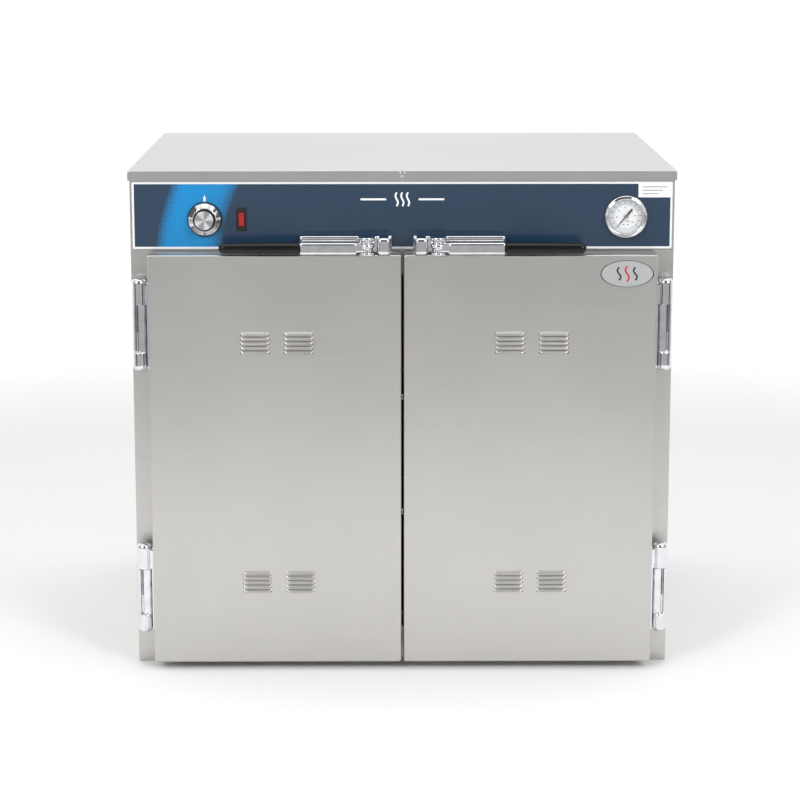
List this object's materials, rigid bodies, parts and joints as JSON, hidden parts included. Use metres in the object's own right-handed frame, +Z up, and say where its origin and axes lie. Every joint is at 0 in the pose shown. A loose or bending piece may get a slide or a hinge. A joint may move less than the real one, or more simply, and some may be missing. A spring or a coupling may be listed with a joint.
{
  "type": "food holding cabinet",
  "caption": "Insulated stainless food holding cabinet with two hinged doors, lever latches, louvred vents, a thermostat knob and a dial thermometer.",
  "frame": {"origin": "centre of the cabinet's flat base, on the plane that it stands on", "axes": "+X to the right seen from the front, +Y from the doors to the back, +Z up"},
  "size_m": [0.68, 0.5825, 0.63],
  "materials": {
    "stainless": "brushed stainless sheet, No. 4 grain",
    "liner_steel": "stainless, 2B mill finish",
    "chrome": "polished chrome plate",
    "wire": "nickel-chrome plated wire",
    "overlay": "glossy printed polyester film, navy",
    "black_grip": "smooth black vinyl",
    "knob_black": "moulded phenolic",
    "red_lens": "translucent red",
    "glass": "clear flat window",
    "dial": "white enamelled dial",
    "needle": "black lacquer",
    "insulation": "fibreglass blanket",
    "gasket": "black silicone",
    "cable": "silicone sheathed heating cable",
    "wires": "fibreglass sleeved leads",
    "plastic_dark": "moulded",
    "terminal": "cream phenolic",
    "copper": "drawn copper tube",
    "steel_pin": "ground steel",
    "screws": "stainless screws",
    "magnet": "ferrite",
    "badge": "printed aluminium foil, silver white"
  },
  "bodies": {
    "cabinet": {"back_panel": "stainless", "bottom_pan": "stainless", "top_cover": "stainless", "face_frame": "stainless", "control_panel": "stainless", "control_overlay": "overlay", "compartment_floor": "liner_steel", "inner_liner": "liner_steel", "insulation": "insulation", "heating_cable": "cable", "side_racks": "wire", "shelves": "wire", "drip_tray": "liner_steel", "thermostat": "plastic_dark", "indicator_lamp": "plastic_dark", "lamp_lens": "red_lens", "thermometer_case": "chrome", "thermometer_dial": "dial", "thermometer_lens": "glass", "sensors": "copper", "terminal_block": "terminal", "wiring": "wires", "cord_gland": "plastic_dark", "hinge_pins": "steel_pin", "frame_hinges": "chrome", "latch_strikes": "stainless", "body_screws": "screws", "left_side_panel": "stainless", "right_side_panel": "stainless"},
    "needle": {"thermometer_needle": "needle"},
    "knob": {"knob": "knob_black", "knob_trim": "chrome", "knob_shaft": "steel_pin"},
    "left_door": {"left_door_skin": "stainless", "left_door_inner": "liner_steel", "left_door_insulation": "insulation", "left_door_gasket": "gasket", "left_door_hinges": "chrome", "left_latch_base": "chrome", "left_latch_pin": "steel_pin", "left_latch_magnet": "magnet", "left_door_screws": "screws"},
    "left_latch": {"left_latch_lever": "chrome", "left_latch_grip": "black_grip"},
    "left_upper_vent": {"left_upper_slide": "liner_steel"},
    "left_lower_vent": {"left_lower_slide": "liner_steel"},
    "right_door": {"right_door_skin": "stainless", "right_door_inner": "liner_steel", "right_door_insulation": "insulation", "right_door_gasket": "gasket", "right_door_hinges": "chrome", "right_latch_base": "chrome", "right_latch_pin": "steel_pin", "right_latch_magnet": "magnet", "right_door_screws": "screws", "badge": "badge"},
    "right_latch": {"right_latch_lever": "chrome", "right_latch_grip": "black_grip"},
    "right_upper_vent": {"right_upper_slide": "liner_steel"},
    "right_lower_vent": {"right_lower_slide": "liner_steel"}
  },
  "joints": [
    {"name": "left_door_hinge", "type": "hinge", "parent": "cabinet", "child": "left_door", "pos_m": [-0.326, -0.281, 0.27], "axis": [0, 0, -1], "range_deg": [0, 175]},
    {"name": "left_latch_pull", "type": "hinge", "parent": "left_door", "child": "left_latch", "pos_m": [-0.044, -0.297, 0.5367], "axis": [0, 0, 1], "range_deg": [0, 25]},
    {"name": "left_upper_vent_slide", "type": "slide", "parent": "left_door", "child": "left_upper_vent", "axis": [1, 0, 0], "range_m": [0, 0.009]},
    {"name": "left_lower_vent_slide", "type": "slide", "parent": "left_door", "child": "left_lower_vent", "axis": [1, 0, 0], "range_m": [0, 0.009]},
    {"name": "right_door_hinge", "type": "hinge", "parent": "cabinet", "child": "right_door", "pos_m": [0.326, -0.281, 0.27], "axis": [0, 0, 1], "range_deg": [0, 175]},
    {"name": "right_latch_pull", "type": "hinge", "parent": "right_door", "child": "right_latch", "pos_m": [0.044, -0.297, 0.5367], "axis": [0, 0, -1], "range_deg": [0, 25]},
    {"name": "right_upper_vent_slide", "type": "slide", "parent": "right_door", "child": "right_upper_vent", "axis": [1, 0, 0], "range_m": [0, 0.009]},
    {"name": "right_lower_vent_slide", "type": "slide", "parent": "right_door", "child": "right_lower_vent", "axis": [1, 0, 0], "range_m": [0, 0.009]},
    {"name": "thermostat_knob", "type": "hinge", "parent": "cabinet", "child": "knob", "pos_m": [-0.2448, -0.2605, 0.5695], "axis": [0, 1, 0], "range_deg": [0, 300]},
    {"name": "thermometer_pointer", "type": "hinge", "parent": "cabinet", "child": "needle", "pos_m": [0.277, -0.2605, 0.5726], "axis": [0, 1, 0], "range_deg": [0, 270]}
  ]
}
